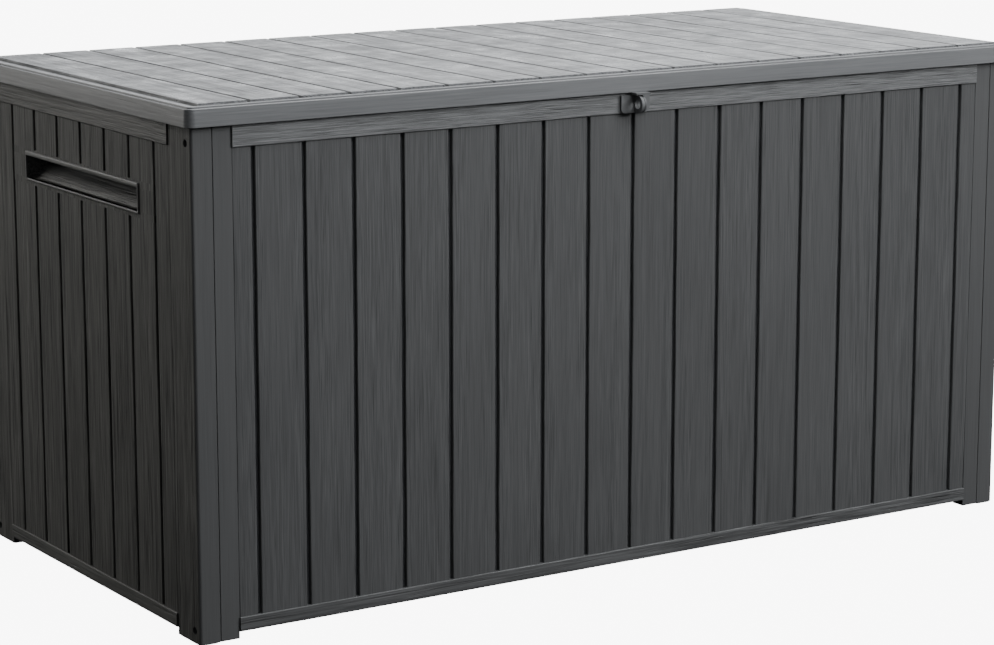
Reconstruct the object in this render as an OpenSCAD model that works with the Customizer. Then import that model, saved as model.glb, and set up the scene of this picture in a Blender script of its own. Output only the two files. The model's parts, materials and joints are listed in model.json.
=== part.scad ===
// Lidded resin deck storage box with plank-pattern walls, a hinged lid on two gas struts,
// recessed carrying handles and a padlock eye. Millimetres. X runs along the front, the front
// faces -Y, Z is up, and the origin is on the ground under the middle of the box.

/* [Body] */
// Width of the box body, outside the corner posts
body_w = 1564; // [1534:2:1594]
// Depth of the box body, outside the corner posts
body_d = 750; // [730:2:770]
// Height of the wall rim above the ground
rim_z = 782.5; // [772.5:5:802.5]
// Ground clearance under the bottom rail
leg_h = 12.3; // [8:0.1:14]
// Depth of a wall panel from its face to the back of its ribs
panel_t = 26; // [26:1:28]
// Thickness of moulded skins
skin = 3; // [2.5:0.1:4]

/* [Planks] */
// Spacing of the plank grooves
plank_pitch = 85; // [78:1:86]
// Number of grooves across the front, the back and the lid
front_grooves = 17; // [13:2:17]
// Number of grooves across each end
end_grooves = 7; // [5:2:7]
// Width of a groove
groove_w = 6.5; // [3:0.5:9]
// Depth of a groove
groove_h = 6; // [3:0.5:8]
// Height of the bottom rail
bottom_rail_h = 22.5; // [15:0.5:40]
// Height of the top rail
top_rail_h = 36; // [25:0.5:60]
// How far the rails stand proud of the planks
rail_proud = 2.5; // [1:0.5:4]

/* [Corner posts] */
// Width of a post on the front and back faces
post_w = 34.5; // [28:0.5:40]
// Width of a post on the end faces
post_d = 72; // [70:1:84]
// Width of the smooth stile beside each post on the front and back panels
stile_w = 31.5; // [24:0.5:36]
// Visible seam between a post and its neighbouring panel
seam = 1; // [0.4:0.1:2]

/* [Lid] */
// Overhang of the lid skirt past the body at the front and the ends
lid_over = 9; // [7:0.5:14]
// Overhang of the lid at the back
lid_over_back = 6.5; // [5:0.5:9]
// Height of the lid skirt
skirt_h = 30; // [26:0.5:36]
// Thickness of the lid shell
lid_skin = 3.5; // [3:0.1:4]
// Corner radius of the lid
lid_r = 14; // [8:1:16]
// How far the skirt hangs below the wall rim
skirt_drop = 2.5; // [1:0.5:4]
// Rise of the plank field above the lid's border
field_rise = 3; // [1:0.5:5]
// Width of the lid's plain border
field_border = 22; // [18:1:28]

/* [Handles] */
// Length of each handle slot
slot_l = 400; // [200:10:400]
// Height of each handle slot
slot_h = 36; // [32:1:42]
// Height of the slot's centre above the ground
slot_z = 651.8; // [550:0.1:660]
// Depth of the handle pocket at the top
pocket_depth = 34; // [30:1:34]
// Depth of the level shelf along the bottom of the pocket
pocket_shelf = 12; // [8:1:16]
// How much each end of the pocket closes in towards the back
pocket_draft = 10; // [4:1:14]

/* [Hinges and struts] */
// Distance of the hinge pin's axis below the wall rim
hinge_drop = 12.5; // [11.5:0.5:13.5]
// Distance of the hinge pin's axis behind the body
hinge_back = 17; // [16:0.5:19]
// Radius of the hinge knuckles
knuckle_r = 12; // [10:0.5:12]
// Spacing of the three hinges
hinge_pitch = 520; // [400:10:560]
// Distance from the hinge axis to each strut stud
strut_r = 300; // [290:1:310]
// Angle between the two strut studs about the hinge axis, lid closed
strut_angle = 70; // [68:1:72]
// Angle of the lid stud below the horizontal, lid closed
stud_drop = 5; // [4:0.5:6]

/* [Latch] */
// Thickness of the body's padlock eye
eye_t = 5; // [4:0.5:5]
// Thickness of the lid's padlock eye
hasp_t = 3; // [2.5:0.5:5]
// Radius of the padlock hole
eye_hole_r = 7.25; // [5:0.25:7.25]
// Outer radius of the padlock eye
eye_r = 13.5; // [12:0.5:13.5]

/* [Hidden] */

resin = "#47494b";
resin_dark = "#36383a";
steel = "#b9bcc0";
black_steel = "#1f2022";
rubber = "#161616";
$fn = 48;

// Body
half_w = body_w / 2;
half_d = body_d / 2;
panel_w = body_w - 2 * (post_w + seam);
end_span = body_d - 2 * post_d;
field_w = panel_w - 2 * stile_w;
plank_z0 = leg_h + bottom_rail_h;
plank_z1 = rim_z - top_rail_h;
rail_face_y = -half_d - rail_proud;
channel_wall = 2.5;
floor_z = 34;
floor_screw_z = 25;
floor_screw_pitch = 240;
floor_screw_shift = 30;
floor_rib_x = 182;
floor_rib_y = 170;
foot_r = 22;
boss = 14;
rib_t = 2;
pad_t = 1.5;

// Lid
skirt_z = rim_z - skirt_drop;
lid_top = skirt_z + skirt_h;
lid_w = body_w + 2 * lid_over;
lid_front = -half_d - lid_over;
lid_back = half_d + lid_over_back;
lid_d = lid_back - lid_front;
lid_mid_y = (lid_front + lid_back) / 2;
liner_z = rim_z + 3.5;
liner_inset = 13;
shell_under = lid_top - lid_skin;
bumper_gap = 0.3;
tube_w = 30;
tube_wall = 1.5;

// Hinge and struts
hinge_y = half_d + hinge_back;
hinge_z = rim_z - hinge_drop;
hinge_half = 50;
knuckle_gap = 0.6;
pin_r = 4;
running = 0.05;
leaf_t = 4;
leaf_z0 = hinge_z - 75;
hinge_xs = [-hinge_pitch, 0, hinge_pitch];
leaf_screw_xs = [-32, 32];
leaf_screw_zs = [-65, -40];
lid_leaf_screw_xs = [-40, 0, 40];
lid_leaf_screw_z = 26;
strut_x = half_w - post_w - 13.5;
strut_tube_r = 8;
strut_bore_r = 6.5;
rod_r = 4;
eye_half = 6;
eye_outer_r = 9;
neck_r = 5.5;
fitting_l = 22;
anchor_y = hinge_y - strut_r * cos(stud_drop + strut_angle);
anchor_z = hinge_z - strut_r * sin(stud_drop + strut_angle);
stud_y = hinge_y - strut_r * cos(stud_drop);
stud_z = hinge_z - strut_r * sin(stud_drop);
strut_closed = 2 * strut_r * sin(strut_angle / 2);
strut_tilt = atan2(stud_z - anchor_z, anchor_y - stud_y);
piston_gap = 12;
bracket_t = 3;
tube_end = strut_closed - fitting_l - 6;
gland_l = 12;
piston_l = 14;

// Latch
latch_z = rim_z - 21;
staple_w = 54;
staple_h = 28;
staple_t = 4;
staple_z0 = latch_z - 14;
latch_screw_x = 16;
rivet_r = 1.6;
hasp_tab_t = 1.8;
eye_y = eye_r - half_d - hinge_back - knuckle_r;
eye_gap = 0.6;

// Screws
screw_r = 2.2;
screw_head_r = 4.2;
screw_head_h = 2.6;
corner_screw_y = half_d - 17;
corner_screw_zs = [leg_h + 8, rim_z - 27.2];
access_r = 6;
pilot_l = 16;

function centred(count, pitch) = [for (i = [0 : count - 1]) (i - (count - 1) / 2) * pitch];

// A box between two corners
module block(lo, hi) {
    translate(lo) cube(hi - lo);
}

// A rectangle with round corners
module round_rect(w, d, r) {
    square([w - 2 * r, d], center = true);
    square([w, d - 2 * r], center = true);
    for (x = [-1, 1], y = [-1, 1])
        translate([x * (w / 2 - r), y * (d / 2 - r)]) circle(r);
}

// Cylinders along X and Y, from one coordinate to another
module rod_x(r, x0, x1) {
    translate([x0, 0, 0]) rotate([0, 90, 0]) cylinder(r = r, h = x1 - x0);
}
module rod_y(r, y0, y1) {
    translate([0, y0, 0]) rotate([-90, 0, 0]) cylinder(r = r, h = y1 - y0);
}

// A screw along +Z, its head's seat at the origin and its shank below
module screw(shank) {
    cylinder(r = screw_head_r, h = screw_head_h);
    translate([0, 0, -shank]) cylinder(r = screw_r, h = shank);
}

// ---- Walls ----

// One grooved wall with ribs, its face at y = 0, its back towards +Y, centred on x = 0
module plank_wall(w, field, grooves) {
    difference() {
        union() {
            block([-w / 2, 0, leg_h], [w / 2, skin, rim_z]);
            block([-w / 2, 0, leg_h], [w / 2, panel_t, leg_h + skin]);
            block([-w / 2, 0, rim_z - skin], [w / 2, panel_t, rim_z]);
            for (s = [-1, 1])
                block([min(s * w / 2, s * (w / 2 - skin)), 0, leg_h],
                      [max(s * w / 2, s * (w / 2 - skin)), panel_t, rim_z]);
            for (x = centred(grooves, plank_pitch)) {
                block([x - groove_w / 2 - channel_wall, 0, leg_h],
                      [x + groove_w / 2 + channel_wall, groove_h + channel_wall, rim_z]);
                block([x - rib_t / 2, 0, leg_h], [x + rib_t / 2, panel_t, rim_z]);
            }
            block([-field / 2, -rail_proud, leg_h], [field / 2, skin, plank_z0]);
            block([-field / 2, -rail_proud, plank_z1], [field / 2, skin, rim_z]);
        }
        for (x = centred(grooves, plank_pitch))
            block([x - groove_w / 2, -1, plank_z0], [x + groove_w / 2, groove_h, plank_z1]);
    }
}

// The long wall at the front: its stiles run down as legs, and screws bite into its bosses
module long_wall() {
    difference() {
        union() {
            translate([0, -half_d, 0]) plank_wall(panel_w, field_w, front_grooves);
            for (s = [-1, 1]) translate([s * (panel_w - stile_w) / 2, -half_d + panel_t / 2, 0])
                leg(stile_w, panel_t);
            for (s = [-1, 1], z = corner_screw_zs)
                translate([s * (panel_w - pilot_l - 2) / 2, -corner_screw_y, z])
                    cube([pilot_l + 2, 12, boss], center = true);
            at_front_floor_screws() translate([0, -half_d + panel_t / 2, floor_screw_z])
                cube([boss, panel_t, boss], center = true);
        }
        for (s = [-1, 1], z = corner_screw_zs)
            translate([s * (panel_w / 2 - pilot_l / 2), -corner_screw_y, z])
                rod_x(screw_r, -pilot_l / 2, pilot_l / 2 + 1);
        at_front_floor_screws() translate([0, 0, floor_screw_z])
            rod_y(screw_r, -half_d + panel_t - 12, -half_d + panel_t + 1);
    }
}

// Hollow leg between the foot pad and the bottom flange
module leg(w, d) {
    translate([0, 0, pad_t]) difference() {
        translate([-w / 2, -d / 2, 0]) cube([w, d, leg_h - pad_t + 1]);
        translate([-w / 2 + skin, -d / 2 + skin, -1])
            cube([w - 2 * skin, d - 2 * skin, leg_h - pad_t + 1]);
    }
}

module at_front_floor_screws() {
    for (x = centred(6, floor_screw_pitch)) translate([x + floor_screw_shift, 0, 0]) children();
}

module front_panel() {
    color(resin) difference() {
        long_wall();
        at_latch_screws() rod_y(screw_r, rail_face_y - 1, -half_d + skin + 1);
    }
}

module back_panel() {
    color(resin) difference() {
        union() {
            mirror([0, 1, 0]) long_wall();
            for (x = hinge_xs)
                block([x - hinge_half - 4, half_d - skin, leaf_z0 - 5],
                      [x + hinge_half + 4, half_d + rail_proud, rim_z - 1]);
        }
        at_leaf_screws() rod_y(screw_r, half_d - skin - 1, half_d + 20);
    }
}

// Hollow corner post, foot to rim, on the left at the front
module corner_post() {
    x0 = -half_w;
    x1 = -half_w + post_w;
    y0 = -half_d;
    y1 = -half_d + post_d;
    difference() {
        block([x0, y0, pad_t], [x1, y1, rim_z]);
        block([x0 + skin, y0 + skin, pad_t + skin], [x1 - skin, y1 - skin, rim_z - skin]);
        for (z = corner_screw_zs) translate([0, -corner_screw_y, z]) {
            rod_x(access_r, x0 - 1, x0 + skin + 1);
            rod_x(screw_r, x1 - skin - 1, x1 + 1);
        }
    }
}

module left_end() {
    difference() {
        union() {
            corner_post();
            mirror([0, 1, 0]) corner_post();
            translate([-half_w, 0, 0]) rotate([0, 0, -90]) plank_wall(end_span, end_span, end_grooves);
        }
        block([-half_w - 10, -slot_l / 2 - skin, slot_z - slot_h / 2 - skin],
              [-half_w + panel_t + 1, slot_l / 2 + skin, slot_z + slot_h / 2 + skin]);
        at_anchor_screws() rod_x(screw_r, -half_w + post_w - skin - 1, -half_w + post_w + 1);
    }
}

module left_side_panel() {
    color(resin) left_end();
}
module right_side_panel() {
    color(resin) mirror([1, 0, 0]) left_end();
}

// Ribbed floor on its own feet, with a rim that is screwed to the long walls
module floor_panel() {
    fw = half_w - panel_t - seam;
    fd = half_d - panel_t - seam;
    cw = half_w - post_w - seam;
    cd = half_d - post_d - seam;
    z0 = leg_h + skin;
    color(resin_dark) difference() {
        union() {
            block([-fw, -cd, floor_z], [fw, cd, floor_z + skin]);
            block([-cw, -fd, floor_z], [cw, fd, floor_z + skin]);
            for (x = centred(9, floor_rib_x))
                block([x - rib_t / 2, -fd, z0], [x + rib_t / 2, fd, floor_z + 1]);
            for (y = centred(5, floor_rib_y))
                block([-cw, y - rib_t / 2, z0], [cw, y + rib_t / 2, floor_z + 1]);
            for (s = [-1, 1]) block([-cw, min(s * fd, s * (fd - skin)), z0],
                                    [cw, max(s * fd, s * (fd - skin)), floor_z + 1]);
            at_floor_feet() cylinder(r = foot_r, h = floor_z + 1);
        }
        at_floor_feet() translate([0, 0, skin]) cylinder(r = foot_r - skin, h = floor_z - skin);
        for (s = [-1, 1]) at_front_floor_screws() translate([0, 0, floor_screw_z])
            rod_y(screw_r, s < 0 ? -fd - 1 : fd - skin - 1, s < 0 ? -fd + skin + 1 : fd + 1);
    }
}

module at_floor_feet() {
    for (x = [-2, 0, 2], y = [-1, 1]) translate([x * floor_rib_x, y * floor_rib_y, 0]) children();
}

module floor_screws() {
    color(steel) for (s = [-1, 1]) at_front_floor_screws()
        translate([0, s * (half_d - panel_t - seam - skin), floor_screw_z])
            rotate([s * 90, 0, 0]) screw(skin + seam + 11);
}

module foot_pads() {
    color(rubber) for (x = [-1, 1], y = [-1, 1])
        translate([x * (half_w - post_w / 2), y * (half_d - post_d / 2), 0])
            linear_extrude(pad_t) round_rect(post_w - 3, post_d - 3, 5);
}

module corner_screws() {
    color(steel) for (x = [-1, 1], y = [-1, 1], z = corner_screw_zs)
        translate([x * (half_w - post_w + skin), y * corner_screw_y, z])
            rotate([0, x * 90, 0]) screw(skin + seam + pilot_l - 1);
}

// ---- Handles ----

// Inside of the pocket behind the wall's face: a level shelf, a back that slopes up and away to
// let water out, and ends that close in; grow makes it larger all round
module pocket(grow) {
    x = -half_w;
    y = slot_l / 2 + grow;
    z0 = slot_z - slot_h / 2 - grow;
    z1 = slot_z + slot_h / 2 + grow;
    rise = (pocket_depth - pocket_shelf) * 1.1;
    back = x + pocket_depth + grow;
    intersection() {
        translate([0, 0, z0]) linear_extrude(z1 - z0)
            polygon([[x, -y], [back, pocket_draft - y], [back, y - pocket_draft], [x, y]]);
        translate([0, y, 0]) rotate([90, 0, 0]) linear_extrude(2 * y)
            polygon([[x, z0], [x + pocket_shelf, z0], [back, z0 + rise], [back, z1], [x, z1]]);
    }
}

// Pocket with a proud lip, on the left end
module handle_cup() {
    lip = 3;
    wall = 2.5;
    lip_side = 4;
    lip_top = 8;
    y = slot_l / 2;
    z0 = slot_z - slot_h / 2;
    z1 = slot_z + slot_h / 2;
    x = -half_w;
    difference() {
        union() {
            block([x - lip, -y - lip_side, z0 - lip_side], [x, y + lip_side, z1 + lip_top]);
            pocket(wall);
        }
        block([x - lip - 1, -y, z0], [x, y, z1]);
        pocket(0);
    }
}

module left_handle_cup() {
    color(resin_dark) handle_cup();
}
module right_handle_cup() {
    color(resin_dark) mirror([1, 0, 0]) handle_cup();
}

// ---- Hinges ----

// Body leaf with three knuckles, drawn about the pin's axis
module body_leaf() {
    inner_y = half_d + rail_proud - hinge_y;
    spans = [[-hinge_half, -30 - knuckle_gap], [-10, 10], [30 + knuckle_gap, hinge_half]];
    difference() {
        union() {
            block([-hinge_half, inner_y, leaf_z0 - hinge_z], [hinge_half, inner_y + leaf_t, -13]);
            for (s = spans) {
                rod_x(knuckle_r, s[0], s[1]);
                block([s[0], inner_y, -25], [s[1], 0, 0]);
            }
        }
        rod_x(pin_r + running, -hinge_half - 1, hinge_half + 1);
        for (x = leaf_screw_xs, z = leaf_screw_zs) translate([x, 0, z]) rod_y(screw_r, inner_y - 1, 0);
    }
}

// Lid leaf with two knuckles, drawn about the pin's axis
module lid_leaf() {
    inner_y = lid_back - hinge_y;
    spans = [[-30, -10 - knuckle_gap], [10 + knuckle_gap, 30]];
    difference() {
        union() {
            block([-hinge_half, inner_y, skirt_z - hinge_z + 4],
                  [hinge_half, inner_y + leaf_t, lid_top - hinge_z - 2]);
            for (s = spans) {
                rod_x(knuckle_r, s[0], s[1]);
                block([s[0], inner_y, 0], [s[1], 0, 20]);
            }
        }
        rod_x(pin_r + running, -hinge_half - 1, hinge_half + 1);
        for (x = lid_leaf_screw_xs) translate([x, 0, lid_leaf_screw_z]) rod_y(screw_r, inner_y - 1, 1);
    }
}

module hinge_pin() {
    rod_x(pin_r, -hinge_half - 1, hinge_half + 1);
    rod_x(pin_r + 2, -hinge_half - 3, -hinge_half - 0.5);
    rod_x(pin_r + 1.5, hinge_half + 0.5, hinge_half + 2.5);
}

module at_hinge(i) {
    translate([hinge_xs[i], hinge_y, hinge_z]) children();
}

module left_body_hinge() { color(black_steel) at_hinge(0) body_leaf(); }
module middle_body_hinge() { color(black_steel) at_hinge(1) body_leaf(); }
module right_body_hinge() { color(black_steel) at_hinge(2) body_leaf(); }
module left_lid_hinge() { color(black_steel) at_hinge(0) lid_leaf(); }
module middle_lid_hinge() { color(black_steel) at_hinge(1) lid_leaf(); }
module right_lid_hinge() { color(black_steel) at_hinge(2) lid_leaf(); }
module left_hinge_pin() { color(steel) at_hinge(0) hinge_pin(); }
module middle_hinge_pin() { color(steel) at_hinge(1) hinge_pin(); }
module right_hinge_pin() { color(steel) at_hinge(2) hinge_pin(); }

module at_leaf_screws() {
    for (hx = hinge_xs, x = leaf_screw_xs, z = leaf_screw_zs)
        translate([hx + x, 0, hinge_z + z]) children();
}
module at_lid_leaf_screws() {
    for (hx = hinge_xs, x = lid_leaf_screw_xs)
        translate([hx + x, 0, hinge_z + lid_leaf_screw_z]) children();
}
module body_hinge_screws() {
    color(steel) at_leaf_screws() translate([0, half_d + rail_proud + leaf_t, 0])
        rotate([-90, 0, 0]) screw(leaf_t + rail_proud + skin + 3);
}
module lid_hinge_screws() {
    color(steel) at_lid_leaf_screws() translate([0, lid_back + leaf_t, 0])
        rotate([-90, 0, 0]) screw(leaf_t + lid_skin + 4);
}

// ---- Latch ----

// Solid disc of a padlock eye, its flat faces at x0 and x1
module eye_disc(x0, x1) {
    translate([0, eye_y, latch_z]) rod_x(eye_r, x0, x1);
}

module latch_staple() {
    color(resin_dark) difference() {
        union() {
            translate([0, rail_face_y, staple_z0 + staple_h / 2]) rotate([90, 0, 0])
                linear_extrude(staple_t) {
                    round_rect(staple_w, staple_h, 7);
                    translate([-staple_w / 2, 0]) square([staple_w, staple_h / 2]);
                }
            difference() {
                eye_disc(-eye_t / 2, eye_t / 2);
                block([-eye_t, rail_face_y, 0], [eye_t, 0, rim_z]);
            }
        }
        translate([0, eye_y, latch_z]) rod_x(eye_hole_r, -eye_t, eye_t);
        at_latch_screws() rod_y(screw_r, rail_face_y - staple_t + 1.5, 0);
    }
}

module at_latch_screws() {
    for (s = [-1, 1]) translate([s * latch_screw_x, 0, latch_z - 2]) children();
}

module latch_screws() {
    color(steel) at_latch_screws() translate([0, -half_d + skin, 0])
        rotate([-90, 0, 0]) screw(skin + rail_proud + staple_t - 2);
}

// Eye that hangs from the lid beside the staple's eye
module lid_hasp() {
    x0 = eye_t / 2 + eye_gap;
    x1 = x0 + hasp_t;
    tab_y = lid_front + lid_skin;
    color(black_steel) difference() {
        union() {
            difference() {
                union() {
                    eye_disc(x0, x1);
                    block([x0, eye_y - 7, latch_z + 9], [x1, eye_y + 7, skirt_z - 1]);
                }
                block([x0 - 1, rail_face_y - staple_t - 0.5, 0], [x1 + 1, 0, skirt_z - 3]);
            }
            block([x0 - 12, eye_y - 7, skirt_z - 3], [x1 + 12, tab_y + hasp_tab_t, skirt_z]);
            block([x0 - 12, tab_y, skirt_z - 3], [x1 + 12, tab_y + hasp_tab_t, lid_top - 8]);
        }
        translate([0, eye_y, latch_z]) rod_x(eye_hole_r, x0 - 1, x1 + 1);
        at_hasp_rivets() rod_y(rivet_r, lid_front, tab_y + hasp_tab_t + 1);
    }
}

module at_hasp_rivets() {
    for (s = [-1, 1]) translate([eye_t / 2 + eye_gap + hasp_t / 2 + s * 9, 0, skirt_z + 12]) children();
}

module hasp_rivets() {
    y = lid_front + lid_skin + hasp_tab_t;
    color(steel) at_hasp_rivets() {
        rod_y(rivet_r, lid_front + 1, y);
        rod_y(2 * rivet_r, y, y + 1.4);
    }
}

// ---- Lid ----

module lid_shell() {
    cavity_w = lid_w - 2 * lid_skin;
    cavity_d = lid_d - 2 * lid_skin;
    fw = lid_w / 2 - field_border - 4;
    color(resin) difference() {
        union() {
            difference() {
                union() {
                    translate([0, lid_mid_y, skirt_z]) linear_extrude(skirt_h)
                        round_rect(lid_w, lid_d, lid_r);
                    block([-fw, lid_front + field_border, lid_top - 1],
                          [fw, lid_back - field_border, lid_top + field_rise]);
                }
                translate([0, lid_mid_y, skirt_z - 1]) linear_extrude(shell_under - skirt_z + 1)
                    round_rect(cavity_w, cavity_d, lid_r - lid_skin);
                for (x = centred(front_grooves, plank_pitch))
                    block([x - groove_w / 2, lid_front + field_border - 1, lid_top - 0.8],
                          [x + groove_w / 2, lid_back - field_border + 1, lid_top + field_rise + 1]);
            }
            at_liner_screws() translate([0, 0, liner_z + skin])
                cylinder(r = 6, h = shell_under - liner_z - skin + 1);
        }
        at_liner_screws() translate([0, 0, liner_z]) cylinder(r = screw_r, h = 14);
        at_lid_leaf_screws() rod_y(screw_r, lid_back - lid_skin - 1, lid_back + 1);
        at_hasp_rivets() rod_y(rivet_r, lid_front + 1, lid_front + lid_skin + 1);
    }
}

module at_liner_screws() {
    for (x = centred(5, 360), y = [lid_front + 60, lid_mid_y, lid_back - 60])
        translate([x, y, 0]) children();
}

// Inner panel that closes the lid from below and holds the stiffening tubes
module lid_liner() {
    y0 = lid_front + liner_inset;
    y1 = lid_back - liner_inset;
    x1 = lid_w / 2 - liner_inset;
    color(resin_dark) difference() {
        union() {
            block([-x1, y0, liner_z], [x1, y1, liner_z + skin]);
            difference() {
                block([-x1, y0, liner_z], [x1, y1, shell_under]);
                block([-x1 + rib_t, y0 + rib_t, liner_z - 1], [x1 - rib_t, y1 - rib_t, shell_under + 1]);
            }
        }
        at_liner_screws() translate([0, 0, liner_z - 1]) cylinder(r = screw_r, h = 10);
        at_bracket_screws() translate([0, 0, liner_z - 1]) cylinder(r = screw_r, h = 10);
    }
}

module lid_liner_screws() {
    color(steel) at_liner_screws() translate([0, 0, liner_z]) mirror([0, 0, 1]) screw(14);
}

module lid_tube(y) {
    l = body_w - 90;
    h = shell_under - liner_z - skin;
    translate([0, y, liner_z + skin + h / 2]) difference() {
        cube([l, tube_w, h], center = true);
        cube([l + 2, tube_w - 2 * tube_wall, h - 2 * tube_wall], center = true);
    }
}
module front_lid_tube() { color(steel) lid_tube(-190); }
module rear_lid_tube() { color(steel) lid_tube(170); }

module lid_bumpers() {
    color(rubber) for (s = [-1, 1]) {
        for (x = [-1, 1])
            translate([x * (half_w - 50), s * (half_d - 9), rim_z + bumper_gap])
                linear_extrude(liner_z - rim_z - bumper_gap) round_rect(40, 10, 4);
        translate([s * (half_w - 9), 0, rim_z + bumper_gap])
            linear_extrude(liner_z - rim_z - bumper_gap) round_rect(10, 40, 4);
    }
}

// ---- Gas struts, drawn on the right and mirrored to the left ----

module mirrored(side) {
    mirror([side < 0 ? 1 : 0, 0, 0]) children();
}

// Frame of the strut: origin on the anchor pin's axis, +Z towards the lid's stud
module strut_frame() {
    translate([strut_x, anchor_y, anchor_z]) rotate([90 - strut_tilt, 0, 0]) children();
}

// A pin for a strut's eye: collar against the bracket, then pin and head
module strut_pin(plate_x) {
    rod_x(7, eye_half + 0.3, plate_x - strut_x);
    rod_x(pin_r, -eye_half - 2, plate_x - strut_x);
    rod_x(pin_r + 2, -eye_half - 2.5, -eye_half - 0.5);
}

module strut_anchor() {
    x1 = half_w - post_w;
    difference() {
        union() {
            block([x1 - bracket_t, anchor_y - 8, anchor_z - 32], [x1, anchor_y + 28, anchor_z + 32]);
            translate([strut_x, anchor_y, anchor_z]) strut_pin(x1 - bracket_t);
        }
        mirror([1, 0, 0]) at_anchor_screws() rod_x(screw_r, -x1 - 1, -x1 + bracket_t + 1);
    }
}

module at_anchor_screws() {
    for (z = [-24, 24]) translate([0, anchor_y + 12, anchor_z + z]) children();
}

module lid_bracket() {
    ear_x = strut_x + eye_half + 2.5;
    difference() {
        union() {
            block([ear_x, stud_y - 20, stud_z + 2], [ear_x + bracket_t, stud_y + 20, liner_z]);
            translate([0, stud_y, stud_z]) rod_x(12, ear_x, ear_x + bracket_t);
            block([ear_x - 44, stud_y - 20, liner_z - bracket_t], [ear_x + bracket_t, stud_y + 20, liner_z]);
            translate([strut_x, stud_y, stud_z]) strut_pin(ear_x);
        }
        at_bracket_screws() translate([0, 0, liner_z - 2 * bracket_t])
            cylinder(r = screw_r, h = 3 * bracket_t);
    }
}

module at_bracket_screws() {
    for (s = [-1, 1], y = [-12, 12]) translate([s * (strut_x - 20), stud_y + y, 0]) children();
}

module strut_anchor_screws() {
    color(steel) for (s = [1, -1]) mirrored(s) mirror([1, 0, 0]) at_anchor_screws()
        translate([-half_w + post_w + bracket_t, 0, 0]) rotate([0, 90, 0])
            screw(bracket_t + skin + 2);
}
module lid_bracket_screws() {
    color(steel) at_bracket_screws() translate([0, 0, liner_z - bracket_t])
        mirror([0, 0, 1]) screw(bracket_t + skin + 3);
}

module strut_tube() {
    bottom = 4;
    difference() {
        translate([0, 0, fitting_l]) cylinder(r = strut_tube_r, h = tube_end - fitting_l);
        translate([0, 0, fitting_l + bottom]) cylinder(r = strut_bore_r, h = tube_end);
    }
}
module strut_gland() {
    translate([0, 0, tube_end - gland_l]) difference() {
        cylinder(r = strut_bore_r, h = gland_l);
        translate([0, 0, -1]) cylinder(r = rod_r + running, h = gland_l + 2);
    }
}

// End fitting with a cross bore for the pin; it points along +Z from its pin
module end_eye() {
    difference() {
        union() {
            rod_x(eye_outer_r, -eye_half, eye_half);
            translate([0, 0, 4]) cylinder(r = neck_r, h = fitting_l - 4);
        }
        rod_x(pin_r + running, -eye_half - 1, eye_half + 1);
    }
}
module strut_rod() {
    start = fitting_l + piston_gap + piston_l;
    translate([0, 0, start]) cylinder(r = rod_r, h = strut_closed - fitting_l - start);
}
module strut_piston() {
    translate([0, 0, fitting_l + piston_gap]) cylinder(r = strut_bore_r - running, h = piston_l);
}

module left_strut_anchor() { color(black_steel) mirrored(-1) strut_anchor(); }
module right_strut_anchor() { color(black_steel) strut_anchor(); }
module left_lid_bracket() { color(black_steel) mirrored(-1) lid_bracket(); }
module right_lid_bracket() { color(black_steel) lid_bracket(); }
module left_strut_tube() { color(black_steel) mirrored(-1) strut_frame() strut_tube(); }
module right_strut_tube() { color(black_steel) strut_frame() strut_tube(); }
module left_strut_gland() { color(rubber) mirrored(-1) strut_frame() strut_gland(); }
module right_strut_gland() { color(rubber) strut_frame() strut_gland(); }
module left_tube_eye() { color(resin_dark) mirrored(-1) strut_frame() end_eye(); }
module right_tube_eye() { color(resin_dark) strut_frame() end_eye(); }
module left_strut_rod() { color(steel) mirrored(-1) strut_frame() strut_rod(); }
module right_strut_rod() { color(steel) strut_frame() strut_rod(); }
module left_strut_piston() { color(rubber) mirrored(-1) strut_frame() strut_piston(); }
module right_strut_piston() { color(rubber) strut_frame() strut_piston(); }
module rod_eye() {
    strut_frame() translate([0, 0, strut_closed]) mirror([0, 0, 1]) end_eye();
}
module left_rod_eye() { color(resin_dark) mirrored(-1) rod_eye(); }
module right_rod_eye() { color(resin_dark) rod_eye(); }

front_panel();
back_panel();
left_side_panel();
right_side_panel();
floor_panel();
left_handle_cup();
right_handle_cup();
foot_pads();
corner_screws();
floor_screws();
left_body_hinge();
middle_body_hinge();
right_body_hinge();
left_hinge_pin();
middle_hinge_pin();
right_hinge_pin();
body_hinge_screws();
latch_staple();
latch_screws();
left_strut_anchor();
right_strut_anchor();
strut_anchor_screws();
lid_shell();
lid_liner();
lid_liner_screws();
front_lid_tube();
rear_lid_tube();
lid_bumpers();
lid_hasp();
hasp_rivets();
left_lid_hinge();
middle_lid_hinge();
right_lid_hinge();
lid_hinge_screws();
left_lid_bracket();
right_lid_bracket();
lid_bracket_screws();
left_strut_tube();
right_strut_tube();
left_strut_gland();
right_strut_gland();
left_tube_eye();
right_tube_eye();
left_strut_rod();
right_strut_rod();
left_strut_piston();
right_strut_piston();
left_rod_eye();
right_rod_eye();
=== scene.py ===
"""Looks of the deck storage box: moulded wood-grain walls, lid, handles, fittings, light and camera."""
import json
import math

import bmesh
import bpy
from mathutils import Matrix, Vector, noise


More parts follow.
